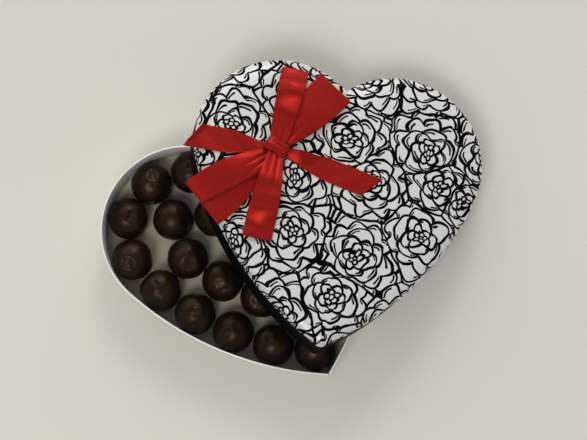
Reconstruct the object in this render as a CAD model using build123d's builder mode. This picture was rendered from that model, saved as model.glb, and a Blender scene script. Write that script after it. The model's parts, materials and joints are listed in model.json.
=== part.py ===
# Valentine heart box: open paperboard tray of chocolate truffles, with its padded lid and bow
# leaning on the rim. Millimetres and degrees. +Z is up, the tray stands on Z = 0, its notch points
# to +Y and its tip to -Y, and the origin is the middle of the tray's underside.
import os
from math import asin, atan2, ceil, cos, degrees, radians, sin, sqrt, tan

from build123d import *

os.makedirs("parts", exist_ok=True)

# Heart outline, at the outside of the tray wall: two round lobes that meet in a notch, and two long
# side arcs that meet in the tip
heart_width = 205.0
heart_length = 200.0
notch_depth = 16.5
side_radius = 231.0

# Tray of white board, with a paper liner on its floor
tray_wall = 1.2
tray_board = 1.2
liner_sheet = 0.3
glue_line = 0.1
tip_slit = 0.6
headroom = 4.8

# Truffles: balls with a flat foot, in two rings and one in the middle
truffle_diameter = 29.8
truffle_foot_cut = 1.5
truffle_gap = 0.35
truffle_wall_gap = 0.5
tip_room = 1.2
inner_half_gap = 16.5
centre_place = 10.0
path_step = 0.2

# Lid: black skirt, board, padding and printed cover
lid_clearance = 0.6
skirt_wall = 1.2
skirt_depth = 23.5
lid_board = 1.5
cover_ply = 0.6
cover_gap = 0.2
padding_edge = 7.0
padding_crown = 10.0
padding_roll = 8.0
crown_share = 0.5
# Turns round the rolled edge, from its drawn-in foot up to where the crown begins
roll_turns = [-25, -5, 15, 35, 52, 68, 82]

# Where the leaning lid crosses the tray: a place on the tray's left lobe, a run up the tray's right
# side from the tip, and the place on the lid's own left lobe that rests on the first of them
tray_lean_angle = 58.0
tray_lean_run = 33.5
lid_lean_angle = 182.5
rest_gap = 0.3

# Bow of satin ribbon, placed on the lid from the lid's own centre
bow_across = -47.0
bow_along = 31.6
ribbon_ply = 0.5
narrow_ribbon = 18.5
waist_width = 8.0
waist_margin = 3.0
waist_thickness = 1.4
gather_run = 20.0
stack_gap = 0.3
band_angle = 66.0
band_width = 9.0
band_corner = 1.5
wide_loop_height = 6.0
narrow_loop_height = 7.0
narrow_loop_climb = 1.45
# Directions on the lid, lengths from the knot and widths at the end of the four loops
low_wide_angle = 225.0
low_wide_length = 66.0
low_wide_width = 37.0
high_wide_angle = 54.0
high_wide_length = 64.0
high_wide_width = 28.0
high_narrow_angle = 83.0
high_narrow_length = 60.0
low_narrow_angle = 264.5
low_narrow_length = 66.0
# Directions of the two tails, and the lengths of their edges up to the slanted cut
left_tail_angle = 178.0
left_tail_long_edge = 64.5
left_tail_short_edge = 53.5
right_tail_angle = -14.0
right_tail_long_edge = 78.0
right_tail_short_edge = 67.0

wide_loops = [
    (low_wide_angle, low_wide_length, low_wide_width),
    (high_wide_angle, high_wide_length, high_wide_width),
]
narrow_loops = [
    (high_narrow_angle, high_narrow_length, narrow_ribbon),
    (low_narrow_angle, low_narrow_length, narrow_ribbon),
]
tails = [
    (left_tail_angle, left_tail_long_edge, left_tail_short_edge),
    (right_tail_angle, right_tail_long_edge, right_tail_short_edge),
]

truffle_radius = truffle_diameter / 2
truffle_height = truffle_diameter - truffle_foot_cut
floor_top = tray_board + liner_sheet
tray_height = floor_top + truffle_height + headroom
lid_grow = lid_clearance + skirt_wall
waist_half_length = band_width / 2 + waist_margin

# The lobes are as round as lets them touch the width and the top and meet at the notch
lobe_radius = heart_width / 2 + notch_depth - sqrt(heart_width * notch_depth)
tip = Vector(0, -heart_length / 2)
lobe_centre = Vector(heart_width / 2 - lobe_radius, heart_length / 2 - lobe_radius)


def polar(centre, radius, angle):
    return centre + Vector(radius * cos(radians(angle)), radius * sin(radians(angle)))


def heading(start, end):
    return degrees(atan2(end.Y - start.Y, end.X - start.X))


def circles_meet(first, first_radius, second, second_radius):
    # The two points where two circles cross
    line = second - first
    along = (line.length**2 + first_radius**2 - second_radius**2) / (2 * line.length)
    aside = sqrt(first_radius**2 - along**2)
    unit = line.normalized()
    across = Vector(-unit.Y, unit.X)
    return [first + unit * along + across * aside, first + unit * along - across * aside]


# The right side arc runs through the tip and flows into the right lobe
side_centre = min(
    circles_meet(lobe_centre, side_radius - lobe_radius, tip, side_radius), key=lambda point: point.X
)
joint_angle = heading(side_centre, lobe_centre)
notch = lobe_centre + Vector(-lobe_centre.X, sqrt(lobe_radius**2 - lobe_centre.X**2))
notch_angle = heading(lobe_centre, notch)


def tip_point(grow):
    drop = sqrt((side_radius + grow) ** 2 - side_centre.X**2)
    return Vector(0, side_centre.Y - drop)


def heart_face(plane, grow=0.0, share=1.0):
    # Face inside the heart outline moved out by grow, then drawn in about its middle to a share
    low = tip_point(grow)
    joint = polar(lobe_centre, lobe_radius + grow, joint_angle)
    top = Vector(0, lobe_centre.Y + sqrt((lobe_radius + grow) ** 2 - lobe_centre.X**2))
    side_middle = (heading(side_centre, low) + joint_angle) / 2
    lobe_middle = (joint_angle + heading(lobe_centre, top)) / 2
    side_point = polar(side_centre, side_radius + grow, side_middle)
    lobe_point = polar(lobe_centre, lobe_radius + grow, lobe_middle)
    with BuildSketch(plane) as face:
        with BuildLine():
            ThreePointArc(low * share, side_point * share, joint * share)
            ThreePointArc(joint * share, lobe_point * share, top * share)
            mirror(about=Plane.YZ)
        make_face()
    return face.sketch


def finish(piece, name):
    piece.part.label = name
    export_step(piece.part, f"parts/{name}.step")


# Tray: base board, wall strip with its ends meeting at the tip, paper liner
with BuildPart() as tray_base:
    extrude(heart_face(Plane.XY, -tray_wall - glue_line), amount=tray_board)
finish(tray_base, "tray_base")

with BuildPart() as tray_wall_strip:
    extrude(heart_face(Plane.XY), amount=tray_height)
    extrude(heart_face(Plane.XY, -tray_wall), amount=tray_height, mode=Mode.SUBTRACT)
    inner_tip = tip_point(-tray_wall)
    with Locations((0, (tip.Y + inner_tip.Y) / 2, tray_height / 2)):
        Box(tip_slit, 2 * (inner_tip.Y - tip.Y), tray_height, mode=Mode.SUBTRACT)
finish(tray_wall_strip, "tray_wall")

with BuildPart() as tray_liner:
    extrude(heart_face(Plane.XY.offset(tray_board), -tray_wall - glue_line), amount=liner_sheet)
finish(tray_liner, "tray_liner")


# Truffles: a ring along the wall, a ring inside it, one in the middle
def inset_path(depth):
    # Points up the right half, a depth inside the outline: side, lobe, then round the notch
    arcs = [
        (side_centre, side_radius - depth, heading(side_centre, tip_point(-depth)), joint_angle),
        (lobe_centre, lobe_radius - depth, joint_angle, notch_angle),
        (notch, depth, notch_angle - 180, -90),
    ]
    points = []
    for centre, radius, start, end in arcs:
        count = ceil(radius * radians(abs(end - start)) / path_step)
        points += [polar(centre, radius, start + (end - start) * i / count) for i in range(count)]
    return points


def walk(first, points, pitch):
    # Places along the path, each a pitch from the one before
    places = [first]
    for point in points:
        if (point - places[-1]).length >= pitch:
            places.append(point)
    return places


truffle_pitch = truffle_diameter + truffle_gap
outer_depth = tray_wall + truffle_wall_gap + truffle_radius
outer_start = tip_point(-outer_depth) + Vector(0, tip_room)
outer_ring = walk(outer_start, inset_path(outer_depth), truffle_pitch)
inner_path = [point for point in inset_path(outer_depth + truffle_pitch) if point.X >= inner_half_gap]
inner_ring = walk(inner_path[0], inner_path, truffle_pitch)

truffle_places = {"truffle_tip": outer_start, "truffle_centre": Vector(0, centre_place)}
for ring_name, ring in (("outer", outer_ring[1:]), ("inner", inner_ring)):
    for number, place in enumerate(ring, 1):
        truffle_places[f"truffle_{ring_name}_right_{number}"] = place
        truffle_places[f"truffle_{ring_name}_left_{number}"] = Vector(-place.X, place.Y)

foot_radius = sqrt(truffle_radius**2 - (truffle_radius - truffle_foot_cut) ** 2)
for name, place in truffle_places.items():
    foot = (place.X, place.Y, floor_top)
    with BuildPart() as truffle:
        with BuildSketch(Plane(foot, x_dir=(1, 0, 0), z_dir=(0, -1, 0))):
            with BuildLine():
                sole = Line((0, 0), (foot_radius, 0))
                equator = (truffle_radius, truffle_radius - truffle_foot_cut)
                ball = ThreePointArc(sole @ 1, equator, (0, truffle_height))
                Line(ball @ 1, sole @ 0)
            make_face()
        revolve(axis=Axis(foot, (0, 0, 1)))
    finish(truffle, name)

# Lean of the lid: the inside of its skirt crosses the outside of the rim at two places, and it tips
# about the line through them until it meets the table or the far rim
left_lobe_centre = Vector(-lobe_centre.X, lobe_centre.Y)
run_angle = heading(side_centre, tip) + degrees(tray_lean_run / side_radius)
rim_first = polar(left_lobe_centre, lobe_radius, tray_lean_angle)
rim_second = polar(side_centre, side_radius, run_angle)
lid_first = polar(left_lobe_centre, lobe_radius + lid_clearance, lid_lean_angle)
lid_second = max(
    circles_meet(lid_first, (rim_second - rim_first).length, side_centre, side_radius + lid_clearance),
    key=lambda point: point.X,
)
rim_line = (rim_second - rim_first).normalized()
rim_across = Vector(-rim_line.Y, rim_line.X)
lid_line = (lid_second - lid_first).normalized()
lid_across = Vector(-lid_line.Y, lid_line.X)
table_reach = (lobe_centre - lid_first).dot(lid_across) + lobe_radius + lid_grow
rim_reach = (lobe_centre - rim_first).dot(rim_across) + lobe_radius
lean_height = tray_height + rest_gap
lean = asin(min(lean_height / table_reach, (skirt_depth - rest_gap) / rim_reach))
slope = rim_across * cos(lean) - Vector(0, 0, sin(lean))
lid_corner = Vector(rim_first.X, rim_first.Y, lean_height)
lid_plane = Plane(
    lid_corner - rim_line * lid_first.dot(lid_line) - slope * lid_first.dot(lid_across),
    x_dir=rim_line * lid_line.X + slope * lid_across.X,
    z_dir=rim_line.cross(slope),
)

# Lid: skirt strip, top board, padding, fabric cover drawn over padding and board
with BuildPart() as lid_skirt:
    extrude(heart_face(lid_plane, lid_grow), amount=skirt_depth)
    extrude(heart_face(lid_plane, lid_clearance), amount=skirt_depth, mode=Mode.SUBTRACT)
finish(lid_skirt, "lid_skirt")

board_grow = lid_grow - cover_ply
board_plane = lid_plane.offset(skirt_depth)
with BuildPart() as lid_top_board:
    extrude(heart_face(board_plane, board_grow - cover_gap), amount=lid_board)
finish(lid_top_board, "lid_board")

padding_plane = board_plane.offset(lid_board)


def padded_top(grow, lift=0.0):
    # Heart faces from the foot of the padding, round its rolled edge, to its crown
    foot_sine = sin(radians(roll_turns[0]))
    foot_cosine = cos(radians(roll_turns[0]))
    faces = []
    for turn in roll_turns:
        share = (sin(radians(turn)) - foot_sine) / (1 - foot_sine)
        swell = padding_roll * (cos(radians(turn)) - foot_cosine)
        faces.append(heart_face(padding_plane.offset((padding_edge + lift) * share), grow + swell))
    faces.append(heart_face(padding_plane.offset(padding_crown + lift), grow, crown_share))
    return faces


with BuildPart() as lid_padding:
    loft(padded_top(board_grow - cover_gap), ruled=True)
finish(lid_padding, "lid_padding")

with BuildPart() as lid_cover:
    extrude(heart_face(board_plane, lid_grow), amount=lid_board)
    loft(padded_top(lid_grow, cover_gap + cover_ply), ruled=True)
    extrude(heart_face(board_plane, board_grow), amount=lid_board, mode=Mode.SUBTRACT)
    loft(padded_top(board_grow, cover_gap), ruled=True, mode=Mode.SUBTRACT)
finish(lid_cover, "lid_cover")

# Bow: tails flat on the cover, wide loops over them, narrow loops on top, a band round the waists
cover_top = skirt_depth + lid_board + padding_crown + cover_gap + cover_ply
knot = lid_plane.from_local_coords(Vector(bow_across, bow_along, cover_top + rest_gap))
bow_plane = Plane(knot, x_dir=lid_plane.x_dir, z_dir=lid_plane.z_dir)
band_low = ribbon_ply + stack_gap
wide_low = band_low + ribbon_ply + stack_gap
narrow_low = wide_low + waist_thickness + stack_gap
band_inside_top = narrow_low + waist_thickness + stack_gap


def along_ribbon(angle):
    # Plane on the lid with its X axis along a ribbon
    direction = bow_plane.x_dir * cos(radians(angle)) + bow_plane.y_dir * sin(radians(angle))
    return Plane(knot, x_dir=direction, z_dir=bow_plane.z_dir)


def gathered_outline(length_left, length_right, width):
    # Flat outline of a ribbon from its pinched waist to its cut end
    pinch = waist_width / 2
    full = width / 2
    spread = waist_half_length + gather_run
    return [
        (-waist_half_length, pinch),
        (waist_half_length, pinch),
        (spread, full),
        (length_left, full),
        (length_right, -full),
        (spread, -full),
        (waist_half_length, -pinch),
        (-waist_half_length, -pinch),
    ]


def ribbon_loop(angle, length, width, low, height, climb):
    # Two plies that leave the pinched waist, part and turn round into each other at the far end
    flat = along_ribbon(angle)
    upright = Plane(knot, x_dir=flat.x_dir, z_dir=flat.x_dir.cross(flat.z_dir))
    turn = length - height / 2
    rise = low + climb * (turn - waist_half_length)
    with BuildPart() as loop:
        with BuildSketch(upright):
            with BuildLine():
                under = Polyline((-waist_half_length, low), (waist_half_length, low), (turn, rise))
                end = ThreePointArc(under @ 1, (length, rise + height / 2), (turn, rise + height))
                shoulder = (waist_half_length, low + waist_thickness)
                Polyline(end @ 1, shoulder, (-shoulder[0], shoulder[1]), under @ 0)
            make_face()
            with BuildLine():
                inside = Line((waist_half_length, low + ribbon_ply), (turn, rise + ribbon_ply))
                bend = (length - ribbon_ply, rise + height / 2)
                inner_end = ThreePointArc(inside @ 1, bend, (turn, rise + height - ribbon_ply))
                Polyline(inner_end @ 1, (shoulder[0], shoulder[1] - ribbon_ply), inside @ 0)
            make_face(mode=Mode.SUBTRACT)
        extrude(amount=width / 2, both=True)
        with BuildSketch(flat):
            with BuildLine():
                Polyline(*gathered_outline(length, length, width), close=True)
            make_face()
        extrude(amount=rise + height, mode=Mode.INTERSECT)
    return loop.part


with BuildPart() as bow_tails:
    for angle, left_edge, right_edge in tails:
        with BuildSketch(along_ribbon(angle)):
            with BuildLine():
                Polyline(*gathered_outline(left_edge, right_edge, narrow_ribbon), close=True)
            make_face()
        extrude(amount=ribbon_ply)
finish(bow_tails, "bow_tails")

with BuildPart() as bow_wide_loops:
    for angle, length, width in wide_loops:
        add(ribbon_loop(angle, length, width, wide_low, wide_loop_height, 0))
finish(bow_wide_loops, "bow_wide_loops")

# The narrow loops climb faster than the upper ply of the shorter wide loop under them
wide_reach = min(length for angle, length, width in wide_loops)
climb = narrow_loop_climb * (wide_loop_height - waist_thickness) / (wide_reach - wide_loop_height)
with BuildPart() as bow_narrow_loops:
    for angle, length, width in narrow_loops:
        add(ribbon_loop(angle, length, width, narrow_low, narrow_loop_height, climb))
finish(bow_narrow_loops, "bow_narrow_loops")

turns_off = [(loop[0] - band_angle + 90) % 180 - 90 for loop in wide_loops + narrow_loops]
skew = radians(max(abs(turn) for turn in turns_off))
band_inside = band_width * tan(skew) + waist_width / cos(skew) + 2 * stack_gap
band_axis = along_ribbon(band_angle).x_dir
with BuildPart() as bow_knot_band:
    with BuildSketch(Plane(knot, x_dir=band_axis.cross(bow_plane.z_dir), z_dir=-band_axis)):
        inside_height = band_inside_top - band_low - ribbon_ply
        with Locations((0, (band_low + band_inside_top + ribbon_ply) / 2)):
            RectangleRounded(band_inside + 2 * ribbon_ply, inside_height + 2 * ribbon_ply, band_corner)
            RectangleRounded(band_inside, inside_height, band_corner - ribbon_ply, mode=Mode.SUBTRACT)
    extrude(amount=band_width / 2, both=True)
finish(bow_knot_band, "bow_knot_band")
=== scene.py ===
import bmesh
import bpy
import json
import math
import numpy as np
from mathutils import Matrix, Vector
from mathutils.bvhtree import BVHTree

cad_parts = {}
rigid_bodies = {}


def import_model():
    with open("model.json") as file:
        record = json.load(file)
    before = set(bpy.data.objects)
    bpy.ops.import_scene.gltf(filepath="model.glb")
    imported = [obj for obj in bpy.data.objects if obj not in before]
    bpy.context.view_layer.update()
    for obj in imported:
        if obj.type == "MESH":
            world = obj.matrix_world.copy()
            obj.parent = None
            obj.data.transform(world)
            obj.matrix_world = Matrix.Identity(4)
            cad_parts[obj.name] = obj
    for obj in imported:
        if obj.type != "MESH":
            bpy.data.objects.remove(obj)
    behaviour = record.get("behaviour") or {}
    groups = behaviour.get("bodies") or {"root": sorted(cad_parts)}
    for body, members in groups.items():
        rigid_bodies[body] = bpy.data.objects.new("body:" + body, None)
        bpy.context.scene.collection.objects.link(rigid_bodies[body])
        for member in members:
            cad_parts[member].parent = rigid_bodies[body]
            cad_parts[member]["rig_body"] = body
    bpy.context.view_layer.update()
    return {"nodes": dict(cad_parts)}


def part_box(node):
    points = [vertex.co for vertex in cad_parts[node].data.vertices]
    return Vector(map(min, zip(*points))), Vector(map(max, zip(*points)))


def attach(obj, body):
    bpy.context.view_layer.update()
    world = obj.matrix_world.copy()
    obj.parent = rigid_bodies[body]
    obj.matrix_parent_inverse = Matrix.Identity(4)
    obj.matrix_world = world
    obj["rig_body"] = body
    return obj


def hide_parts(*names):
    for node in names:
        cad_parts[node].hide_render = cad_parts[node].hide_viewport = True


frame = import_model()
mm = 0.001
rng = np.random.default_rng(14)  # one fixed seed for every hand-made difference


def linear(hexColour):
    # sRGB hex to the linear values that Blender wants
    parts = [int(hexColour[i:i + 2], 16) / 255 for i in (1, 3, 5)]
    return [c / 12.92 if c <= 0.04045 else ((c + 0.055) / 1.055) ** 2.4 for c in parts] + [1.0]


def give(tree, node, inputs):
    # fills a node's inputs: another node's output is linked, a plain value is set
    for key, value in inputs.items():
        if isinstance(value, bpy.types.NodeSocket):
            tree.links.new(value, node.inputs[key])
        else:
            node.inputs[key].default_value = value


def add(tree, kind, *inputs, out=0, **settings):
    # adds one node and gives back one of its outputs; inputs come in order, or by name in a dictionary
    node = tree.nodes.new(kind)
    for key, value in settings.items():
        setattr(node, key, value)
    give(tree, node, inputs[0] if inputs and isinstance(inputs[0], dict) else dict(enumerate(inputs)))
    return node.outputs[out] if node.outputs else node


def meshPiece(name, points, faces, material, uv=None):
    # a smooth mesh in the part's frame, with an optional uv for each point
    mesh = bpy.data.meshes.new(name)
    mesh.from_pydata([tuple(p) for p in points], [], faces)
    if uv is not None:
        layer = mesh.uv_layers.new(name="flat")
        index = np.zeros(len(mesh.loops), int)
        mesh.loops.foreach_get("vertex_index", index)
        layer.data.foreach_set("uv", np.asarray(uv, np.float32)[index].ravel())
    mesh.polygons.foreach_set("use_smooth", [True] * len(mesh.polygons))
    mesh.materials.append(material)
    mesh.update()
    piece = bpy.data.objects.new(name, mesh)
    bpy.context.scene.collection.objects.link(piece)
    return piece


def settle(piece):
    # the piece's modifiers become its plain mesh
    graph = bpy.context.evaluated_depsgraph_get()
    mesh = bpy.data.meshes.new_from_object(piece.evaluated_get(graph))
    piece.modifiers.clear()
    piece.data = mesh


def smoothStep(value):
    value = np.clip(value, 0, 1)
    return value * value * (3 - 2 * value)


def gridFaces(rows, columns, closeRows=False, closeColumns=False):
    # quads of a grid of points numbered row by row
    faces = []
    for row in range(rows if closeRows else rows - 1):
        here, after = row * columns, (row + 1) % rows * columns
        for column in range(columns if closeColumns else columns - 1):
            beside = (column + 1) % columns
            faces.append((here + column, here + beside, after + beside, after + column))
    return faces


# the heart: two lobes that meet in a notch, two long sides that meet in the tip
heart = {"width": 205 * mm, "length": 200 * mm, "notchDepth": 16.5 * mm, "sideRadius": 231 * mm,
         "sidePoints": 72, "lobePoints": 120, "notchPoints": 14}
heart["lobeRadius"] = (heart["width"] / 2 + heart["notchDepth"]
                       - math.sqrt(heart["width"] * heart["notchDepth"]))
heart["lobe"] = np.array([heart["width"], heart["length"]]) / 2 - heart["lobeRadius"]
heart["tip"] = np.array([0, -heart["length"] / 2])


def sideCentre():
    # the side arc runs through the tip and flows into the lobe
    near, far = heart["sideRadius"] - heart["lobeRadius"], heart["sideRadius"]
    line = heart["tip"] - heart["lobe"]
    span = np.linalg.norm(line)
    along = (span ** 2 + near ** 2 - far ** 2) / (2 * span)
    aside = math.sqrt(near ** 2 - along ** 2)
    unit = line / span
    across = np.array([-unit[1], unit[0]])
    return min((heart["lobe"] + unit * along + across * s * aside for s in (1, -1)), key=lambda p: p[0])


heart["side"] = sideCentre()


def arc(centre, radius, start, end, count):
    turn = np.linspace(start, end, count)
    return centre + radius * np.stack([np.cos(turn), np.sin(turn)], 1)


def heartRing(grow, slit=0.0):
    # closed outline moved out by grow, the same number of points each time, from the tip round to it
    side, lobe = heart["side"], heart["lobe"]
    sideRadius, lobeRadius = heart["sideRadius"] + grow, heart["lobeRadius"] + grow
    tipTurn = -math.acos((slit - side[0]) / sideRadius)
    joinTurn = math.atan2(lobe[1] - side[1], lobe[0] - side[0])
    notchTop = math.sqrt(heart["lobeRadius"] ** 2 - lobe[0] ** 2)
    notch = np.array([0.0, lobe[1] + notchTop])
    if grow < 0:  # inside the outline the ring goes round the notch point
        notchTurn = math.atan2(notchTop, -lobe[0])
        notchArc = arc(notch, -grow, notchTurn - math.pi, -math.pi / 2, heart["notchPoints"])
    else:
        notchTurn = math.acos(-lobe[0] / lobeRadius)
        meet = lobe[1] + math.sqrt(lobeRadius ** 2 - lobe[0] ** 2)
        notchArc = np.tile([0.0, meet], (heart["notchPoints"], 1))
    half = np.concatenate([
        arc(side, sideRadius, tipTurn, joinTurn, heart["sidePoints"])[:-1],
        arc(lobe, lobeRadius, joinTurn, notchTurn, heart["lobePoints"])[:-1],
        notchArc,
    ])
    return np.concatenate([half, half[-2::-1] * [-1, 1]])


lid = {"grow": 1.8 * mm, "skirtDepth": 23.5 * mm, "board": 1.5 * mm, "turnTries": 4, "turnShare": 0.5}


def lidAxes():
    # how the lid lies: its own middle at the skirt's lower edge, and its three directions
    points = np.array([v.co for v in frame["nodes"]["lid_skirt"].data.vertices])
    middle = points.mean(0)
    up = np.linalg.svd(points - middle, full_matrices=False)[2][2]
    up *= np.sign(up[2])
    flat = points - np.outer((points - middle) @ up, up)
    tip = flat[np.argmax(np.linalg.norm(flat - middle, axis=1))]
    along = middle - tip
    for _ in range(lid["turnTries"]):  # turn until both lobes reach equally far
        along /= np.linalg.norm(along)
        across = np.cross(along, up)
        reach = (flat - tip) @ across
        along = along + across * (reach.max() + reach.min()) / heart["length"] * lid["turnShare"]
    along /= np.linalg.norm(along)
    across = np.cross(along, up)
    top = ((flat - tip) @ along).max() - heart["length"] / 2 - lid["grow"]
    low = ((points - middle) @ up).min()
    return tip + along * top + up * low, across, along, up


lid["origin"], lid["across"], lid["along"], lid["up"] = lidAxes()


def onLid(points):
    # points in the lid's own directions to the part's frame
    points = np.asarray(points, float)
    return lid["origin"] + points @ np.array([lid["across"], lid["along"], lid["up"]])


print("lid lies at", np.round(lid["origin"] / mm, 2), "up", np.round(lid["up"], 4))

# materials of the box, the truffles and the bow
colourMix = {"out": 2, "data_type": "RGBA"}  # its share goes in at 0 and its two colours at 6 and 7


def newMaterial(name):
    # an empty material, its node tree and its shader
    material = bpy.data.materials.new(name)
    material.use_nodes = True
    return material, material.node_tree, material.node_tree.nodes["Principled BSDF"]


paper = {"fibre": 3 * mm, "cloud": 40 * mm, "relief": 0.08 * mm, "reliefShare": 0.12,
         "roughnessChange": 0.06, "IOR": 1.5}
boards = {  # two close colours, roughness, reflection
    "whiteBoard": ("#DEDCD6", "#E6E4DF", 0.36, 0.5),
    "linerPaper": ("#B2A591", "#BFB39F", 0.3, 0.5),
    "blackBoard": ("#030303", "#060605", 0.6, 0.05),
    "greyBoard": ("#A39C90", "#B2ACA1", 0.75, 0.5),
}


def coatedBoard(name, dark, pale, roughness, reflection):
    # clay-coated paperboard: one even tone, faint long fibres, a soft sheen that blurs what is near
    material, tree, shader = newMaterial(name)
    place = add(tree, "ShaderNodeTexCoord", out="Object")
    fibre = add(tree, "ShaderNodeTexNoise", {"Vector": place, "Scale": 1 / paper["fibre"], "Detail": 6})
    cloud = add(tree, "ShaderNodeTexNoise", {"Vector": place, "Scale": 1 / paper["cloud"], "Detail": 2})
    tone = add(tree, "ShaderNodeMix", {0: cloud, 6: linear(dark), 7: linear(pale)}, **colourMix)
    change = paper["roughnessChange"]
    gloss = add(tree, "ShaderNodeMapRange", {
        "Value": fibre, "To Min": roughness - change, "To Max": roughness + change})
    bump = add(tree, "ShaderNodeBump", {
        "Height": fibre, "Strength": paper["reliefShare"], "Distance": paper["relief"]})
    give(tree, shader, {"Base Color": tone, "Roughness": gloss, "Normal": bump, "IOR": paper["IOR"],
                        "Specular IOR Level": reflection})
    return material


couverture = {"dark": "#0E0703", "warm": "#21140C", "tint": "#E2C4A8", "IOR": 1.49, "reflection": 0.3,
              "cloud": 9 * mm, "cloudFrom": 0.3, "cloudTo": 0.7, "matt": 0.44, "glossy": 0.28,
              "grain": 0.9 * mm, "relief": 0.12 * mm, "reliefShare": 0.25}


def dippedChocolate():
    # dark couverture set by hand: brown-black, half gloss, thinner warm places
    material, tree, shader = newMaterial("dippedChocolate")
    place = add(tree, "ShaderNodeTexCoord", out="Object")
    cloud = add(tree, "ShaderNodeTexNoise", {"Vector": place, "Scale": 1 / couverture["cloud"], "Detail": 4})
    grain = add(tree, "ShaderNodeTexNoise", {"Vector": place, "Scale": 1 / couverture["grain"], "Detail": 5})
    tone = add(tree, "ShaderNodeMix", {
        0: cloud, 6: linear(couverture["dark"]), 7: linear(couverture["warm"])}, **colourMix)
    gloss = add(tree, "ShaderNodeMapRange", {
        "Value": cloud, "From Min": couverture["cloudFrom"], "From Max": couverture["cloudTo"],
        "To Min": couverture["matt"], "To Max": couverture["glossy"]})
    bump = add(tree, "ShaderNodeBump", {
        "Height": grain, "Strength": couverture["reliefShare"], "Distance": couverture["relief"]})
    give(tree, shader, {"Base Color": tone, "Roughness": gloss, "Normal": bump, "IOR": couverture["IOR"],
                        "Specular IOR Level": couverture["reflection"],
                        "Specular Tint": linear(couverture["tint"])})
    return material


# a real weft thread is too fine to show, so it is drawn coarse
ribbonSatin = {"dark": "#821915", "bright": "#97211C", "tint": "#FF584F", "roughness": 0.33, "metallic": 0.41,
               "reflection": 0.15, "weft": 0.9 * mm, "weftShare": 0.35, "slubLength": 6 * mm,
               "slubWidth": 0.8 * mm, "relief": 0.1 * mm, "reliefShare": 0.18}


def redSatin():
    # polyester satin ribbon: long floats that shine in their own colour, fine weft lines and slubs
    material, tree, shader = newMaterial("redSatin")
    flat = add(tree, "ShaderNodeUVMap", uv_map="flat")
    along = add(tree, "ShaderNodeSeparateXYZ", flat, out="X")
    turns = add(tree, "ShaderNodeMath", along, 2 * math.pi / ribbonSatin["weft"], operation="MULTIPLY")
    weft = add(tree, "ShaderNodeMath", turns, operation="SINE")
    drawn = add(tree, "ShaderNodeMapping", {
        "Vector": flat, "Scale": (1 / ribbonSatin["slubLength"], 1 / ribbonSatin["slubWidth"], 1)})
    slub = add(tree, "ShaderNodeTexNoise", {"Vector": drawn, "Scale": 1, "Detail": 3})
    tone = add(tree, "ShaderNodeMix", {
        0: slub, 6: linear(ribbonSatin["dark"]), 7: linear(ribbonSatin["bright"])}, **colourMix)
    height = add(tree, "ShaderNodeMath", weft, ribbonSatin["weftShare"], slub, operation="MULTIPLY_ADD")
    bump = add(tree, "ShaderNodeBump", {
        "Height": height, "Strength": ribbonSatin["reliefShare"], "Distance": ribbonSatin["relief"]})
    give(tree, shader, {"Base Color": tone, "Normal": bump, "Roughness": ribbonSatin["roughness"],
                        "Metallic": ribbonSatin["metallic"], "Specular IOR Level": ribbonSatin["reflection"],
                        "Specular Tint": linear(ribbonSatin["tint"])})
    return material


blossom = {"pitch": 44 * mm, "spread": 0.66, "wander": 8 * mm, "wanderRun": 17 * mm, "core": 7 * mm,
           "ringRate": 2.9, "farRing": 18 * mm, "ringTurn": 0.58, "rings": 5, "youngRings": 3, "petals": 5,
           "petalEdge": 0.9, "scallop": 0.78, "bud": 1 * mm, "line": 0.98 * mm, "lineChange": 0.3 * mm,
           "pressRun": 9 * mm, "inkEdge": 0.12 * mm, "vein": 0.66 * mm, "veinInset": 0.42,
           "veinChance": 0.6, "veinSide": -0.1}
# the weave is too fine to show, so it is drawn coarse
coverSatin = {"grey": "#B9B8B4", "white": "#CFCECA", "ink": "#040404", "weave": 1.1 * mm, "relief": 0.1 * mm,
              "reliefShare": 0.1, "sheenRoughness": 0.35}
# the shader's values on bare cloth and on ink
clothAndInk = {"Specular IOR Level": (0.9, 0.02), "Roughness": (0.34, 0.6), "Sheen Weight": (1.0, 0.0)}


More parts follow.
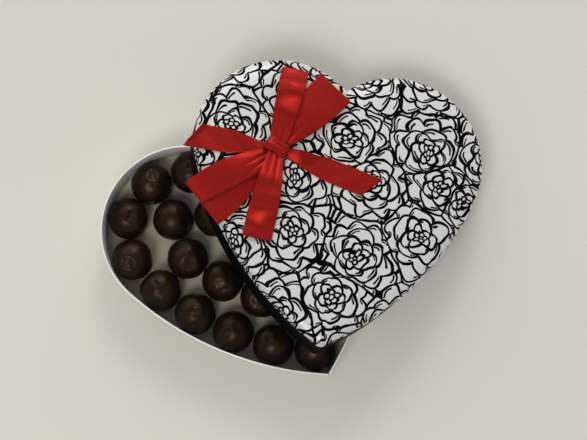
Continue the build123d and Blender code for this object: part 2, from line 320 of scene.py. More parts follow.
def printedSatin():
    # white satin with a black screen print: line-drawn blossoms of overlapping petals, border to border
    material, tree, shader = newMaterial("printedSatin")
    scalar, vector = "ShaderNodeMath", "ShaderNodeVectorMath"
    flat = add(tree, "ShaderNodeUVMap", uv_map="flat")
    wander = add(tree, "ShaderNodeTexNoise", {
        "Vector": flat, "Scale": 1 / blossom["wanderRun"], "Detail": 1}, out="Color", noise_dimensions="2D")
    shift = add(tree, vector, wander, (0.5, 0.5, 0.5), operation="SUBTRACT")
    shift = add(tree, vector, {0: shift, "Scale": blossom["wander"]}, operation="SCALE")
    drawn = add(tree, vector, flat, shift, operation="ADD")
    cell = {"Vector": drawn, "Scale": 1 / blossom["pitch"], "Randomness": blossom["spread"]}
    centre = add(tree, "ShaderNodeTexVoronoi", cell, out="Position", voronoi_dimensions="2D")
    chance = add(tree, "ShaderNodeSeparateColor", centre.node.outputs["Color"])
    border = add(tree, "ShaderNodeTexVoronoi", cell, voronoi_dimensions="2D", feature="DISTANCE_TO_EDGE")
    border = add(tree, scalar, border, blossom["pitch"], operation="MULTIPLY")
    # place in the blossom: distance, angle, and the ring of petals, which widens outwards
    away = add(tree, vector, drawn, centre, operation="SUBTRACT")
    far = add(tree, vector, away, operation="LENGTH", out="Value")
    side = add(tree, "ShaderNodeSeparateXYZ", away)
    angle = add(tree, scalar, side.node.outputs["Y"], side, operation="ARCTAN2")
    turns = add(tree, scalar, angle, 1 / (2 * math.pi), chance, operation="MULTIPLY_ADD")
    beyond = add(tree, scalar, far, blossom["core"], operation="ADD")
    count = add(tree, scalar, beyond, 1 / blossom["core"], operation="MULTIPLY")
    count = add(tree, scalar, count, math.e, operation="LOGARITHM")
    steady = add(tree, scalar, far, 1 / blossom["farRing"], operation="MULTIPLY")
    count = add(tree, scalar, count, blossom["ringRate"], steady, operation="MULTIPLY_ADD")
    ring = add(tree, scalar, count, operation="FLOOR")
    within = add(tree, scalar, count, ring, operation="SUBTRACT")
    rate = add(tree, scalar, blossom["ringRate"], beyond, operation="DIVIDE")
    rate = add(tree, scalar, rate, 1 / blossom["farRing"], operation="ADD")
    # the petals' round edges: each ring is turned by about half a petal, the outer rings have twice as many
    # rings are whole numbers, so the tests on them stand half-way between two
    outside = add(tree, scalar, ring, blossom["rings"] - 0.5, operation="GREATER_THAN")
    petals = add(tree, scalar, outside, blossom["petals"], blossom["petals"], operation="MULTIPLY_ADD")
    offset = add(tree, scalar, ring, blossom["ringTurn"], operation="MULTIPLY")
    part = add(tree, scalar, turns, petals, offset, operation="MULTIPLY_ADD")
    part = add(tree, scalar, part, operation="FRACT")
    part = add(tree, scalar, part, 2.0, -1.0, operation="MULTIPLY_ADD")  # -1 to 1 across a petal
    deep = add(tree, scalar, ring, 1.0, operation="MINIMUM")
    deep = add(tree, scalar, deep, blossom["scallop"], operation="MULTIPLY")
    fall = add(tree, scalar, part, part, operation="MULTIPLY")
    fall = add(tree, scalar, fall, deep, operation="MULTIPLY")
    edgeAt = add(tree, scalar, blossom["petalEdge"], fall, operation="SUBTRACT")
    over = add(tree, scalar, within, edgeAt, operation="SUBTRACT")
    # how steeply that changes on the cloth, which makes it a distance
    slope = add(tree, scalar, part, deep, operation="MULTIPLY")
    slope = add(tree, scalar, slope, petals, operation="MULTIPLY")
    around = add(tree, scalar, far, blossom["bud"], operation="ADD")
    slope = add(tree, scalar, slope, around, operation="DIVIDE")
    slope = add(tree, scalar, slope, 2 / math.pi, operation="MULTIPLY")
    slope = add(tree, scalar, slope, slope, operation="MULTIPLY")
    rate = add(tree, scalar, rate, rate, operation="MULTIPLY")
    steep = add(tree, scalar, slope, rate, operation="ADD")
    steep = add(tree, scalar, steep, operation="SQRT")
    edge = add(tree, scalar, over, operation="ABSOLUTE")
    edge = add(tree, scalar, edge, steep, operation="DIVIDE")
    # a thinner stroke inside the petal's edge, left out on one side of it and in the young rings
    inner = add(tree, scalar, over, blossom["veinInset"], operation="ADD")
    inner = add(tree, scalar, inner, operation="ABSOLUTE")
    inner = add(tree, scalar, inner, steep, operation="DIVIDE")
    spare = add(tree, scalar, chance.node.outputs["Green"], blossom["veinChance"], blossom["veinSide"],
                operation="MULTIPLY_ADD")
    spare = add(tree, scalar, part, spare, operation="LESS_THAN")
    young = add(tree, scalar, ring, blossom["youngRings"] - 0.5, operation="LESS_THAN")
    spare = add(tree, scalar, spare, young, operation="MAXIMUM")
    inner = add(tree, scalar, inner, spare, operation="ADD")
    inner = add(tree, scalar, inner, blossom["line"] - blossom["vein"], operation="ADD")
    line = add(tree, scalar, edge, inner, operation="MINIMUM")
    line = add(tree, scalar, line, border, operation="MINIMUM")
    # the pen presses harder here and there
    press = add(tree, "ShaderNodeTexNoise", {
        "Vector": flat, "Scale": 1 / blossom["pressRun"], "Detail": 1}, noise_dimensions="2D")
    width = add(tree, scalar, press, blossom["lineChange"], blossom["line"] - blossom["lineChange"] / 2,
                operation="MULTIPLY_ADD")
    past = add(tree, scalar, line, width, operation="SUBTRACT")
    ink = add(tree, "ShaderNodeMapRange", {
        "Value": past, "From Min": blossom["inkEdge"], "From Max": -blossom["inkEdge"]})
    weave = add(tree, "ShaderNodeTexNoise", {
        "Vector": flat, "Scale": 1 / coverSatin["weave"], "Detail": 3}, noise_dimensions="2D")
    cloth = add(tree, "ShaderNodeMix", {
        0: weave, 6: linear(coverSatin["grey"]), 7: linear(coverSatin["white"])}, **colourMix)
    tone = add(tree, "ShaderNodeMix", {0: ink, 6: cloth, 7: linear(coverSatin["ink"])}, **colourMix)
    bump = add(tree, "ShaderNodeBump", {
        "Height": weave, "Strength": coverSatin["reliefShare"], "Distance": coverSatin["relief"]})
    give(tree, shader, {"Base Color": tone, "Normal": bump, "Sheen Roughness": coverSatin["sheenRoughness"]})
    for socket, (onCloth, onInk) in clothAndInk.items():
        give(tree, shader, {socket: add(tree, "ShaderNodeMix", {0: ink, 2: onCloth, 3: onInk})})
    return material


board = {name: coatedBoard(name, *values) for name, values in boards.items()}
chocolate = dippedChocolate()
satin = redSatin()
printed = printedSatin()
for node, name in (("tray_base", "whiteBoard"), ("tray_liner", "linerPaper"), ("lid_board", "greyBoard")):
    frame["nodes"][node].data.materials.clear()
    frame["nodes"][node].data.materials.append(board[name])
print("materials ready")

# tray wall and lid skirt: board strips with a softly rounded rim, bent round the heart
strip = {"cornerPoints": 5, "merge": 0.004 * mm, "sharp": math.radians(50)}


def tidyMesh(mesh):
    # merges doubled points and turns every face outwards
    work = bmesh.new()
    work.from_mesh(mesh)
    bmesh.ops.remove_doubles(work, verts=work.verts, dist=strip["merge"])
    bmesh.ops.recalc_face_normals(work, faces=work.faces)
    work.to_mesh(mesh)
    work.free()


def heartStrip(name, grows, heights, slit, place, material):
    # grows and heights give the strip's section, from its outer foot over the rim to its inner foot
    rings = [heartRing(grow, slit) for grow in grows]
    points = np.concatenate([
        np.column_stack([ring, np.full(len(ring), z)]) for ring, z in zip(rings, heights)])
    count = len(rings[0])
    faces = gridFaces(len(rings), count, closeRows=True)
    if slit:  # the strip's two cut ends
        faces += [tuple(i * count for i in range(len(rings)))[::-1]]
        faces += [tuple(i * count + count - 1 for i in range(len(rings)))]
    piece = meshPiece(name, place(points), faces, material)
    tidyMesh(piece.data)
    piece.data.set_sharp_from_angle(angle=strip["sharp"])
    return piece


def stripSection(outer, inner, low, high, rim):
    # section of a strip with its two upper and two lower corners rounded by rim
    turn = np.linspace(0, math.pi / 2, strip["cornerPoints"])
    grows = np.concatenate([
        outer - rim + rim * np.sin(turn), outer - rim + rim * np.cos(turn),
        inner + rim - rim * np.sin(turn), inner + rim - rim * np.cos(turn)])
    heights = np.concatenate([
        low + rim - rim * np.cos(turn), high - rim + rim * np.sin(turn),
        high - rim + rim * np.cos(turn), low + rim - rim * np.sin(turn)])
    return grows, heights


tray = {"wall": 1.2 * mm, "rim": 0.35 * mm, "slit": 0.3 * mm}
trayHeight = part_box("tray_wall")[1].z
trayWall = heartStrip("tray_wall_board", *stripSection(0, -tray["wall"], 0, trayHeight, tray["rim"]),
                      tray["slit"], lambda p: p, board["whiteBoard"])
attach(trayWall, "tray")
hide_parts("tray_wall")
skirt = {"inner": 0.6 * mm, "rim": 0.35 * mm}
lidSkirt = heartStrip("lid_skirt_board",
                      *stripSection(lid["grow"], skirt["inner"], 0, lid["skirtDepth"], skirt["rim"]),
                      0, onLid, board["blackBoard"])
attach(lidSkirt, "lid")
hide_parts("lid_skirt")
print("board strips ready")

# lid cushion: satin drawn over padding, rolled at the edge, crowned in the middle
cushion = {"foot": 23.7 * mm, "hem": 3 * mm, "cloth": 0.1 * mm, "pullIn": 0.6 * mm, "shoulder": 2.2 * mm,
           "rollHeight": 8.6 * mm, "rollDepth": 14 * mm, "rollIn": 0.9, "rollUp": 0.8, "crown": 1.9 * mm,
           "middle": (0, 6 * mm), "middleShare": 0.004, "rollRings": 16, "crownRings": 20, "heldRings": 5,
           "easing": 80, "rounding": 5}


def eased(points, rings, count):
    # cloth rounds the tip and the notch a little, and wadding the ridges that run in from them
    grid = points.reshape(rings, count, 3).copy()
    hold = smoothStep((np.arange(rings) - cushion["heldRings"]) / cushion["rollRings"])[:, None]
    for _ in range(cushion["rounding"]):
        grid[1:, :, :2] += (np.roll(grid, 1, 1) + np.roll(grid, -1, 1) - 2 * grid)[1:, :, :2] / 4
    for _ in range(cushion["easing"]):
        height = grid[:, :, 2]
        beside = np.roll(height, 1, 1) + np.roll(height, -1, 1)
        through = np.concatenate([height[1:], height[-1:]]) + np.concatenate([height[:1], height[:-1]])
        grid[:, :, 2] += hold * ((beside + through) / 4 - height) / 2
    return grid.reshape(-1, 3)


def lidCushion():
    # section from the hem on the skirt's top edge, up past the board's edge and over the roll
    boardTop = lid["skirtDepth"] + lid["board"]
    turn = np.linspace(0, math.pi / 2, cushion["rollRings"])
    outer = lid["grow"] - cushion["pullIn"]
    sweep = cushion["rollDepth"] + outer
    climb = cushion["rollHeight"] - cushion["shoulder"]
    grows = [lid["grow"] - cushion["hem"], lid["grow"], lid["grow"] + cushion["cloth"]]
    grows += list(outer - sweep * (1 - np.cos(turn) ** cushion["rollIn"]))
    heights = [cushion["foot"], cushion["foot"], boardTop]
    heights += list(boardTop + cushion["shoulder"] + climb * np.sin(turn) ** cushion["rollUp"])
    runs = np.concatenate([[0], np.cumsum(np.hypot(np.diff(grows), np.diff(heights)))])
    # rings round the section, each with its outline on the flat cloth, then rings in to the crown
    rings, flat = [], []
    for grow, height, run in zip(grows, heights, runs):
        ring = heartRing(grow)
        rings.append(np.column_stack([ring, np.full(len(ring), height)]))
        flat.append(heartRing(grows[-1] + runs[-1] - run))
    last = rings[-1]
    middle = np.array(cushion["middle"])
    for share in np.linspace(1, 0, cushion["crownRings"] + 1)[1:]:
        ring = middle + (last[:, :2] - middle) * max(share, cushion["middleShare"])
        height = last[0, 2] + cushion["crown"] * (1 - share ** 2)
        rings.append(np.column_stack([ring, np.full(len(ring), height)]))
        flat.append(ring)
    count = len(last)
    points = np.concatenate(rings)
    faces = gridFaces(len(rings), count, closeColumns=True)
    faces.append(tuple(range(len(points) - count, len(points))))
    faces.append(tuple(range(count))[::-1])
    points = eased(points, len(rings), count)
    piece = meshPiece("lid_cushion", onLid(points), faces, printed, np.concatenate(flat))
    return piece, points, faces


lidTop, cushionPoints, cushionFaces = lidCushion()
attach(lidTop, "lid")
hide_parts("lid_cover", "lid_padding")
print("cushion ready")

# truffles: one tree of nodes shapes each ball, with its own seed and its own finger marks
dip = {"fineness": 6, "lumpMiddle": 0.45, "patchFrom": 0.46, "patchTo": 0.6, "upperFrom": 0.15,
       "upperTo": 0.6, "headingStep": 2.4, "strokeWander": 1.6, "dimpleWander": 0.3, "dimpleFall": 16,
       "ringAt": 0.42, "ringFall": 60, "ringShare": 0.45, "most": 0.2 * mm, "mostEasing": 0.5 * mm}
dipNoises = {  # size, detail, step of the seed
    "lump": (12 * mm, 1.2, 0),
    "wobble": (9 * mm, 1, 7.3),
    "patch": (13 * mm, 0, 3.1),
}


def truffleTree():
    tree = bpy.data.node_groups.new("dippedTruffle", "GeometryNodeTree")
    tree.interface.new_socket("Geometry", in_out="OUTPUT", socket_type="NodeSocketGeometry")
    sizes = ("Diameter", "Foot Cut", "Lump Height", "Ridge Height", "Ridge Pitch", "Dimple Depth", "Seed")
    for name in sizes:
        tree.interface.new_socket(name, in_out="INPUT", socket_type="NodeSocketFloat")
    tree.interface.new_socket("Dimple Place", in_out="INPUT", socket_type="NodeSocketVector")
    tree.interface.new_socket("Material", in_out="INPUT", socket_type="NodeSocketMaterial")
    given = add(tree, "NodeGroupInput").node.outputs
    scalar, vector = "ShaderNodeMath", "ShaderNodeVectorMath"
    radius = add(tree, scalar, given["Diameter"], 0.5, operation="MULTIPLY")
    ball = add(tree, "GeometryNodeMeshIcoSphere", {"Radius": radius, "Subdivisions": dip["fineness"]})
    place = add(tree, "GeometryNodeInputPosition")
    out = add(tree, vector, place, operation="NORMALIZE")
    noise = {}
    for name, (size, detail, step) in dipNoises.items():
        moment = add(tree, scalar, given["Seed"], step, operation="ADD")
        noise[name] = add(tree, "ShaderNodeTexNoise", {
            "Vector": place, "W": moment, "Scale": 1 / size, "Detail": detail}, noise_dimensions="4D")
    lump = add(tree, scalar, noise["lump"], dip["lumpMiddle"], operation="SUBTRACT")
    lump = add(tree, scalar, lump, given["Lump Height"], operation="MULTIPLY")
    # strokes of the fork: ridges in one direction, over part of the top
    patch = add(tree, "ShaderNodeMapRange", {
        "Value": noise["patch"], "From Min": dip["patchFrom"], "From Max": dip["patchTo"]},
        interpolation_type="SMOOTHSTEP")
    upper = add(tree, "ShaderNodeSeparateXYZ", out, out="Z")
    upper = add(tree, "ShaderNodeMapRange", {
        "Value": upper, "From Min": dip["upperFrom"], "From Max": dip["upperTo"]},
        interpolation_type="SMOOTHSTEP")
    heading = add(tree, scalar, given["Seed"], dip["headingStep"], operation="MULTIPLY")
    turned = add(tree, "ShaderNodeVectorRotate", {"Vector": place, "Angle": heading}, rotation_type="Z_AXIS")
    stroke = add(tree, "ShaderNodeSeparateXYZ", turned, out="Y")
    stroke = add(tree, scalar, stroke, given["Ridge Pitch"], operation="DIVIDE")
    stroke = add(tree, scalar, noise["wobble"], dip["strokeWander"], stroke, operation="MULTIPLY_ADD")
    stroke = add(tree, scalar, stroke, 2 * math.pi, operation="MULTIPLY")
    stroke = add(tree, scalar, stroke, operation="SINE")
    ridge = add(tree, scalar, stroke, given["Ridge Height"], operation="MULTIPLY")
    where = add(tree, scalar, patch, upper, operation="MULTIPLY")
    ridge = add(tree, scalar, ridge, where, operation="MULTIPLY")
    # where the last drop was drawn off: a dimple with a ring round it
    off = add(tree, vector, out, given["Dimple Place"], operation="DISTANCE", out="Value")
    astray = add(tree, scalar, noise["wobble"], 0.5, operation="SUBTRACT")
    off = add(tree, scalar, astray, dip["dimpleWander"], off, operation="MULTIPLY_ADD")
    dent = add(tree, scalar, off, off, operation="MULTIPLY")
    dent = add(tree, scalar, dent, -dip["dimpleFall"], operation="MULTIPLY")
    dent = add(tree, scalar, dent, operation="EXPONENT")
    ring = add(tree, scalar, off, dip["ringAt"], operation="SUBTRACT")
    ring = add(tree, scalar, ring, ring, operation="MULTIPLY")
    ring = add(tree, scalar, ring, -dip["ringFall"], operation="MULTIPLY")
    ring = add(tree, scalar, ring, operation="EXPONENT")
    ring = add(tree, scalar, ring, dip["ringShare"], operation="MULTIPLY")
    dimple = add(tree, scalar, ring, dent, operation="SUBTRACT")
    dimple = add(tree, scalar, dimple, given["Dimple Depth"], operation="MULTIPLY")
    # all of it moves the ball's surface in or out, and the foot is cut flat
    swell = radius
    for change in (lump, ridge, dimple):
        swell = add(tree, scalar, swell, change, operation="ADD")
    most = add(tree, scalar, radius, dip["most"], operation="ADD")
    swell = add(tree, scalar, swell, most, dip["mostEasing"], operation="SMOOTH_MIN")
    shaped = add(tree, vector, {0: out, "Scale": swell}, operation="SCALE")
    across = add(tree, "ShaderNodeSeparateXYZ", shaped)
    foot = add(tree, scalar, given["Foot Cut"], radius, operation="SUBTRACT")
    floor = add(tree, scalar, across.node.outputs["Z"], foot, operation="MAXIMUM")
    seated = add(tree, "ShaderNodeCombineXYZ", across, across.node.outputs["Y"], floor)
    moved = add(tree, "GeometryNodeSetPosition", {"Geometry": ball, "Position": seated})
    real = add(tree, "GeometryNodeRealizeInstances", moved)
    shaded = add(tree, "GeometryNodeSetShadeSmooth", real)
    done = add(tree, "GeometryNodeSetMaterial", {0: shaded, "Material": given["Material"]})
    add(tree, "NodeGroupOutput", done)
    return tree


truffle = {"Foot Cut": 1.5 * mm, "Lump Height": 4.4 * mm, "Ridge Pitch": 5.2 * mm}
# what the hand does differently each time: tilt in radians, heights in mm, below zero is no ridge
hand = {"tilt": (0.1, 0.55), "ridge": (-0.12, 0.26), "dimple": (0.5, 1.5), "seedStep": 1.7}
truffleNodes = truffleTree()
truffleSockets = {item.name: item.identifier for item in truffleNodes.interface.items_tree}


def dippedTruffle(node, seed):
    low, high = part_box(node)
    tilt, turn = rng.uniform(*hand["tilt"]), rng.uniform(0, 2 * math.pi)
    own = dict(truffle)
    own["Diameter"] = high.x - low.x
    own["Seed"] = seed * hand["seedStep"]
    own["Ridge Height"] = max(0, rng.uniform(*hand["ridge"])) * mm
    own["Dimple Depth"] = rng.uniform(*hand["dimple"]) * mm
    own["Dimple Place"] = (math.sin(tilt) * math.cos(turn), math.sin(tilt) * math.sin(turn), math.cos(tilt))
    own["Material"] = chocolate
    piece = meshPiece(node + "_dipped", [], [], chocolate)
    modifier = piece.modifiers.new("dipped", "NODES")
    modifier.node_group = truffleNodes
    for name, value in own.items():
        modifier[truffleSockets[name]] = value
    settle(piece)
    middle = low.z + own["Diameter"] / 2 - own["Foot Cut"]
    place = Vector(((low.x + high.x) / 2, (low.y + high.y) / 2, middle))
    piece.data.transform(Matrix.Translation(place))
    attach(piece, frame["nodes"][node]["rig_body"])
    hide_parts(node)


truffles = [name for name in sorted(frame["nodes"]) if name.startswith("truffle")]
for seed, name in enumerate(truffles, 1):
    dippedTruffle(name, seed)
print(len(truffles), "truffles ready")

# bow: three satin ribbons pinched at one waist, and a short band round it
bow = {"knot": np.array([-47, 31.6]) * mm, "gap": 0.35 * mm, "tailGap": 0.35 * mm, "loopGap": 0.5 * mm,
       "rayFrom": 100 * mm}
ribbon = {"columns": 61, "rows": 64, "foldPoints": 11, "ply": 0.35 * mm, "bridgeReach": 3, "bridgeEasing": 8}
laid = {"points": [], "faces": []}  # what the next ribbon lies on


def lay(points, faces):
    first = len(laid["points"])
    laid["points"] += [tuple(p) for p in points]
    laid["faces"] += [tuple(first + i for i in face) for face in faces]


def topUnder(plan):
    # height of the topmost thing under each plan point, and a low value off the lid
    tree = BVHTree.FromPolygons(laid["points"], laid["faces"])
    found = []
    for x, y in plan:
        hit = tree.ray_cast(Vector((x, y, bow["rayFrom"])), Vector((0, 0, -1)))[0]
        found.append(hit.z if hit else 0.0)
    return np.array(found)


def bridged(support):
    # a ribbon bridges what it lies on instead of following each step
    for _ in range(ribbon["bridgeReach"]):
        for axis in (0, 1):
            ahead, behind = np.roll(support, 1, axis), np.roll(support, -1, axis)
            support = np.maximum(support, np.maximum(ahead, behind))
    for _ in range(ribbon["bridgeEasing"]):
        padded = np.pad(support, 1, mode="edge")
        support = (padded[:-2, 1:-1] + padded[2:, 1:-1] + padded[1:-1, :-2] + padded[1:-1, 2:]) / 4
    return support


def ribbonPlan(turn, along, across, mirror):
    turn = math.radians(turn)
    ahead = np.array([math.cos(turn), math.sin(turn)])
    aside = np.array([-math.sin(turn), math.cos(turn)])
    return bow["knot"] + along[..., None] * ahead + mirror * across[..., None] * aside


# loops: lengths in mm and turns in degrees, spread is an exponent, the runs are shares of the reach
# low and end are the lower ply's heights, and the arch climbs over the run up and falls over the run down
wide = {"low": 0.7, "up": (0, 0.4), "down": (0.5, 0.95), "vee": 0, "roll": 0, "fold": 1.1,
        "pleatHeight": 1.4, "pleatRun": 0.5, "crossFall": 0.4}
wideLoops = [
    {**wide, "turn": 225, "reach": 66, "width": 37, "spread": 0.62, "end": -0.6, "rise": 2.6, "pleats": 3,
     "crease": {"start": 62.6, "aside": 0.8, "slope": 0.165, "step": 2.2}},
    {**wide, "turn": 54, "reach": 64, "width": 29, "spread": 0.6, "end": 0.0, "rise": 2.2, "pleats": 2.5}]
narrow = {"low": 2.6, "pleats": 1.5, "crossFall": 0.3}
narrowLoops = [
    {**narrow, "turn": 264.5, "reach": 66, "width": 20.5, "spread": 0.42, "end": -0.8, "rise": 5.2,
     "up": (0.1, 0.6), "down": (0.7, 0.92), "vee": 0.03, "roll": 0.28, "fold": 1.1,
     "pleatHeight": 0.9, "pleatRun": 0.6},
    {**narrow, "turn": 83, "reach": 60, "width": 18.5, "spread": 0.34, "end": -1.4, "rise": 6.4,
     "up": (0.4, 0.72), "down": (0.74, 1.5), "vee": 0, "roll": 0.24, "fold": 1.8,
     "pleatHeight": 0.5, "pleatRun": 0.45}]
loopForm = {"pinch": 4.2 * mm, "opening": 1.15, "waistGap": 1.1 * mm, "crown": 0.12, "veeRound": 0.2,
            "crossFallBy": 1 / 2, "sway": 0.3 * mm, "swayRun": 8.5 * mm, "swaySlant": 1.3, "swayBy": 2 / 5,
            "creaseWidth": 1 * mm, "creaseBy": 1 / 3}
pleatForm = {"mostExcess": 3, "uneven": 0.5, "unevenRate": 3, "roundness": 0.7, "sink": 0.7}


def pleat(loop, half, flatHalf, share, place):
    # width that the pinch takes away stands up in pleats, which open towards the end
    count, most = loop["pleats"], loop["pleatHeight"] * mm
    excess = np.clip(flatHalf / half - 1, 0, pleatForm["mostExcess"])
    height = np.minimum(half / count * np.sqrt(excess), most) * smoothStep(1 - share / loop["pleatRun"])
    turn = math.pi / 2 * (count * place + pleatForm["uneven"] * np.sin(pleatForm["unevenRate"] * place))
    return height * (np.abs(np.cos(turn)) ** pleatForm["roundness"] - pleatForm["sink"])


def loopRows(loop, mirror):
    # from the knot out along the lower ply, over the fold and back along the upper ply
    place = np.linspace(-1, 1, ribbon["columns"])[None, :]
    fold, reach = loop["fold"] * mm, (loop["reach"] - loop["fold"]) * mm
    out = np.linspace(0, reach, ribbon["rows"])
    turn = np.linspace(-math.pi / 2, math.pi / 2, ribbon["foldPoints"])[1:-1]
    along = np.concatenate([out, reach + fold * np.cos(turn), out[::-1]])[:, None]
    upper = np.concatenate([np.zeros(len(out)), (1 + np.sin(turn)) / 2, np.ones(len(out))])[:, None]
    share = np.clip(along / reach, 0, 1)
    flatHalf = loop["width"] / 2 * mm
    opened = smoothStep(share * loopForm["opening"]) ** loop["spread"]
    half = loopForm["pinch"] + (flatHalf - loopForm["pinch"]) * opened
    across = half * place
    base = loop["low"] * mm + (loop["end"] - loop["low"]) * mm * share
    # the upper ply arches over the lower one, and comes down sooner at its edges where it has a vee
    early = share + loop["vee"] * np.hypot(place, loopForm["veeRound"])
    (upFrom, upTo), (downFrom, downTo) = loop["up"], loop["down"]
    arch = loop["rise"] * mm * smoothStep((share - upFrom) / (upTo - upFrom))
    arch = arch * (1 - smoothStep((early - downFrom) / (downTo - downFrom)))
    arch = arch * (1 - loopForm["crown"] * place ** 2 + loop["roll"] * place)
    gap = loopForm["waistGap"] * (1 - share) + 2 * fold * share
    height = base + upper * (gap + arch) + pleat(loop, half, flatHalf, share, place)
    fall = loop["crossFall"] * mm * place ** 2 * smoothStep(share / loopForm["crossFallBy"])
    sway = np.sin(along / loopForm["swayRun"] + loopForm["swaySlant"] * place + loop["turn"])
    sway = loopForm["sway"] * sway * smoothStep(share / loopForm["swayBy"])
    height = height + upper * (sway - fall)
    if "crease" in loop:  # one lengthwise crease, with the part beside it lower
        crease = loop["crease"]
        line = crease["aside"] * mm + (crease["start"] * mm - along) * crease["slope"]
        beside = smoothStep((across - line) / loopForm["creaseWidth"] + 0.5)
        height = height - upper * crease["step"] * mm * beside * smoothStep(share / loopForm["creaseBy"])
    along = np.broadcast_to(along, height.shape)
    plan = ribbonPlan(loop["turn"], along, np.broadcast_to(across, height.shape), mirror)
    return plan, height, np.broadcast_to(base, height.shape)


# tails: lengths in mm and turns in degrees, edges are how far the tail's two edges run to the slanted cut
tails = [
    {"turn": 178, "edges": (53.5, 64.5), "width": 17.6, "spread": 38,
     "curl": 0.6, "curlAt": 12, "droop": 2.5},
    {"turn": -14, "edges": (78, 67.5), "width": 17.2, "spread": 44,
     "curl": -5.5, "curlAt": 16, "droop": 0.4}]
tailForm = {"pinch": 2.6 * mm, "curlRun": 9 * mm, "curlPower": 1.5, "wave": 0.4 * mm, "waveRun": 7.5 * mm,
            "waveSlant": 1.4, "waveBy": 20 * mm}


def tailRows(tail, mirror):
    # from the knot out to a slanted cut; the tail unrolls from its curl and then lies on the cushion
    place = np.linspace(-1, 1, ribbon["columns"])[None, :]
    cut = (sum(tail["edges"]) + place * (tail["edges"][1] - tail["edges"][0])) / 2 * mm
    along = np.linspace(0, 1, ribbon["rows"])[:, None] * cut
    flatHalf = tail["width"] / 2 * mm
    half = tailForm["pinch"] + (flatHalf - tailForm["pinch"]) * smoothStep(along / (tail["spread"] * mm))
    curl = tail["curl"] * mm * np.exp(-((along - tail["curlAt"] * mm) / tailForm["curlRun"]) ** 2)
    curl = np.abs(curl) * ((1 + np.sign(curl) * place) / 2) ** tailForm["curlPower"]
    wave = tailForm["wave"] * np.sin(along / tailForm["waveRun"] + tailForm["waveSlant"] * place)
    wave = wave * smoothStep(along / tailForm["waveBy"])
    height = curl - tail["droop"] * mm * (along / cut.max()) ** 2 + wave
    return ribbonPlan(tail["turn"], along, half * place, mirror), height, np.minimum(height, 0)


def thicken(piece):
    ply = piece.modifiers.new("ply", "SOLIDIFY")
    ply.thickness = ribbon["ply"]
    ply.offset = 0
    settle(piece)


def ribbonPiece(name, sides, rows, clearance, node):
    # two sides of one ribbon, joined through the waist, as one strip with a ply's thickness
    first, second = rows(sides[0], 1), rows(sides[1], -1)
    order = 1 if rows is loopRows else -1
    plan, height, base = (np.concatenate([a[::order][:-1], b[::-order]]) for a, b in zip(first, second))
    flatHalf = sum(side["width"] for side in sides) / len(sides) / 2 * mm
    shape = height.shape
    flatPlan = plan.reshape(-1, 2)
    support = bridged(topUnder(flatPlan).reshape(shape)) + clearance
    lift = np.maximum(support - bow["plane"] - base, 0)
    if rows is loopRows:  # a loop stays stiff across its width
        lift = bridged(np.broadcast_to(lift.max(1, keepdims=True), shape))
    points = np.column_stack([flatPlan, (height + lift + bow["plane"]).ravel()])
    middle = points.reshape(*shape, 3)[:, shape[1] // 2]
    run = np.concatenate([[0], np.cumsum(np.linalg.norm(np.diff(middle, axis=0), axis=1))])
    aside = np.linspace(-flatHalf, flatHalf, shape[1])
    flat = np.stack(np.meshgrid(run, aside, indexing="ij"), -1).reshape(-1, 2)
    faces = gridFaces(*shape)
    lay(points, faces)
    piece = meshPiece(name, onLid(points), faces, satin, flat)
    thicken(piece)
    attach(piece, "lid")
    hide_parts(node)
    return piece, (2 * flatHalf, run[-1])


# below 1, flatness gives the wrap a flat top and rolled sides
band = {"turn": 62, "half": 8.6 * mm, "width": 12 * mm, "height": 7.4 * mm, "lift": 0.2 * mm, "points": 72,
        "columns": 25, "gather": 0.28, "wrinkle": 0.15 * mm, "wrinkleSlant": 1.2, "edgeFall": 0.2,
        "edgePower": 4, "flatness": 0.6, "flat": (11.5 * mm, 36 * mm)}


def knotBand():
    # a short strip wrapped round the waist, gathered over its top
    turn = math.radians(band["turn"])
    aside = np.array([-math.sin(turn), math.cos(turn)])
    ahead = np.array([math.cos(turn), math.sin(turn)])
    around = np.linspace(0, 2 * math.pi, band["points"], endpoint=False)[:, None]
    place = np.linspace(-1, 1, band["columns"])[None, :]
    cosine, sine = np.cos(around), np.sin(around)
    width = band["width"] / 2 * (1 - band["gather"] + band["gather"] * np.abs(cosine)) * place
    wrinkle = band["wrinkle"] * np.cos(2 * math.pi * place + band["wrinkleSlant"] * sine) * sine
    swell = 1 - band["edgeFall"] * place ** band["edgePower"]
    sideways = band["half"] * np.sign(cosine) * np.abs(cosine) ** band["flatness"] * swell
    level = np.sign(sine) * np.abs(sine) ** band["flatness"]
    height = band["height"] / 2 * (1 + level * swell) + wrinkle + band["lift"]
    plan = bow["knot"] + sideways[..., None] * aside + width[..., None] * ahead
    points = np.column_stack([plan.reshape(-1, 2), bow["plane"] + height.ravel()])
    run = np.repeat(around.ravel() * band["half"], band["columns"])
    flat = np.column_stack([run, np.tile(place.ravel() * band["width"] / 2, band["points"])])
    faces = gridFaces(band["points"], band["columns"], closeRows=True)
    piece = meshPiece("bow_band", onLid(points), faces, satin, flat)
    thicken(piece)
    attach(piece, "lid")
    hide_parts("bow_knot_band")
    return piece


lay(cushionPoints, cushionFaces)
bow["plane"] = topUnder([bow["knot"]])[0] + bow["gap"]
tailPiece, tailFlat = ribbonPiece("bow_tail_ribbon", tails, tailRows, bow["tailGap"], "bow_tails")
widePiece, wideFlat = ribbonPiece("bow_wide_ribbon", wideLoops, loopRows, bow["loopGap"], "bow_wide_loops")
narrowPiece, narrowFlat = ribbonPiece("bow_narrow_ribbon", narrowLoops, loopRows, bow["loopGap"],
                                      "bow_narrow_loops")
bandPiece = knotBand()
print("bow ready, ribbons", [np.round(np.array(f) / mm).tolist() for f in (tailFlat, wideFlat, narrowFlat)])

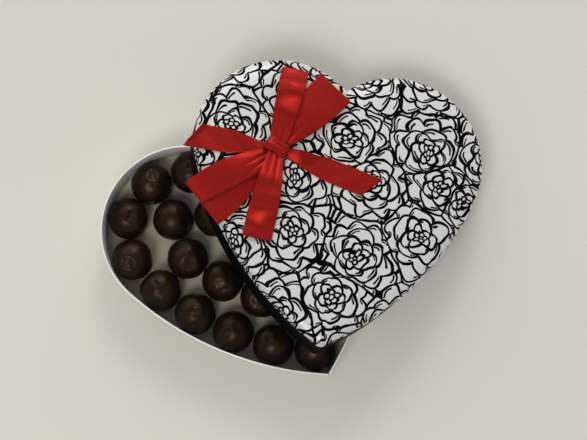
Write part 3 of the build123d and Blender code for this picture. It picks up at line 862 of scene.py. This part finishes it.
# stage: a table, the camera, two soft lamps and a room with a window
tableTop = {"dark": "#CBC8BF", "pale": "#D2CFC7", "roughness": 0.6, "cloudsPerMetre": 6, "half": 3,
            "sink": 0.2 * mm}


def paleTable():
    # matt laminate: warm off-white with a faint cloud
    material, tree, shader = newMaterial("paleTable")
    place = add(tree, "ShaderNodeTexCoord", out="Object")
    cloud = add(tree, "ShaderNodeTexNoise", {
        "Vector": place, "Scale": tableTop["cloudsPerMetre"], "Detail": 3})
    tone = add(tree, "ShaderNodeMix", {
        0: cloud, 6: linear(tableTop["dark"]), 7: linear(tableTop["pale"])}, **colourMix)
    give(tree, shader, {"Base Color": tone, "Roughness": tableTop["roughness"]})
    return material


corners = [(x * tableTop["half"], y * tableTop["half"], -tableTop["sink"])
           for x, y in ((-1, -1), (1, -1), (1, 1), (-1, 1))]
table = meshPiece("table", corners, [(0, 1, 2, 3)], paleTable())

view = {"azimuth": -28.03, "elevation": 83.42, "target": (31.38 * mm, 12.78 * mm, 0), "distance": 1132.2 * mm,
        "lens": 94.35, "sensor": 36, "nearest": 10 * mm}
turn, rise = math.radians(view["azimuth"]), math.radians(view["elevation"])
back = Vector((math.sin(turn) * math.cos(rise), -math.cos(turn) * math.cos(rise), math.sin(rise)))
camera = bpy.data.objects.new("camera", bpy.data.cameras.new("camera"))
bpy.context.scene.collection.objects.link(camera)
camera.data.lens = view["lens"]
camera.data.sensor_width = view["sensor"]
camera.data.clip_start = view["nearest"]
camera.location = Vector(view["target"]) + back * view["distance"]
camera.rotation_mode = "QUATERNION"
camera.rotation_quaternion = (-back).to_track_quat("-Z", "Y")
bpy.context.scene.camera = camera

# directions of the picture on the table, and where the lamps stand in them, in metres and watts
pictureRight = np.array([math.cos(turn), math.sin(turn), 0])
pictureUp = np.array([-math.sin(turn), math.cos(turn), 0])
straightUp = np.array([0, 0, 1])
lamps = {
    "nearLamp": {"right": -0.27, "up": -0.55, "rise": 1.1, "distance": 2.0, "size": 0.8, "power": 14.4},
    "farLamp": {"right": 0.1, "up": 0.95, "rise": 0.8, "distance": 2.2, "size": 0.7, "power": 9.5},
}
for name, place in lamps.items():  # round area lamps that look at the middle of the box
    lamp = bpy.data.objects.new(name, bpy.data.lights.new(name, "AREA"))
    bpy.context.scene.collection.objects.link(lamp)
    lamp.data.shape = "DISK"
    lamp.data.size = place["size"]
    lamp.data.energy = place["power"]
    towards = place["right"] * pictureRight + place["up"] * pictureUp + place["rise"] * straightUp
    towards = Vector(towards).normalized()
    lamp.location = Vector(view["target"]) + towards * place["distance"]
    lamp.rotation_mode = "QUATERNION"
    lamp.rotation_quaternion = (-towards).to_track_quat("-Z", "Y")

room = {"colour": "#F4F4F2", "walls": 0.5, "overhead": 0.42, "overheadFrom": 0.45, "overheadTo": 0.97,
        "window": 1.45, "windowRight": -0.05, "windowUp": 0.99, "windowFrom": 0.3, "windowTo": 0.9}
world = bpy.data.worlds.new("room")
bpy.context.scene.world = world
world.use_nodes = True
sky = world.node_tree
outward = add(sky, "ShaderNodeTexCoord", out="Generated")
height = add(sky, "ShaderNodeSeparateXYZ", outward, out="Z")
strength = add(sky, "ShaderNodeMapRange", {  # the walls are a little brighter than what is overhead
    "Value": height, "From Min": room["overheadFrom"], "From Max": room["overheadTo"],
    "To Min": room["walls"], "To Max": room["overhead"]}, interpolation_type="SMOOTHSTEP")
windowSide = tuple(room["windowRight"] * pictureRight + room["windowUp"] * pictureUp)
facing = add(sky, "ShaderNodeVectorMath", outward, windowSide, operation="DOT_PRODUCT", out="Value")
glow = add(sky, "ShaderNodeMapRange", {
    "Value": facing, "From Min": room["windowFrom"], "From Max": room["windowTo"], "To Max": room["window"]},
    interpolation_type="SMOOTHSTEP")
strength = add(sky, "ShaderNodeMath", strength, glow, operation="ADD")
give(sky, sky.nodes["Background"], {"Color": linear(room["colour"]), "Strength": strength})
bpy.context.scene.view_settings.view_transform = "Standard"
print("stage ready")
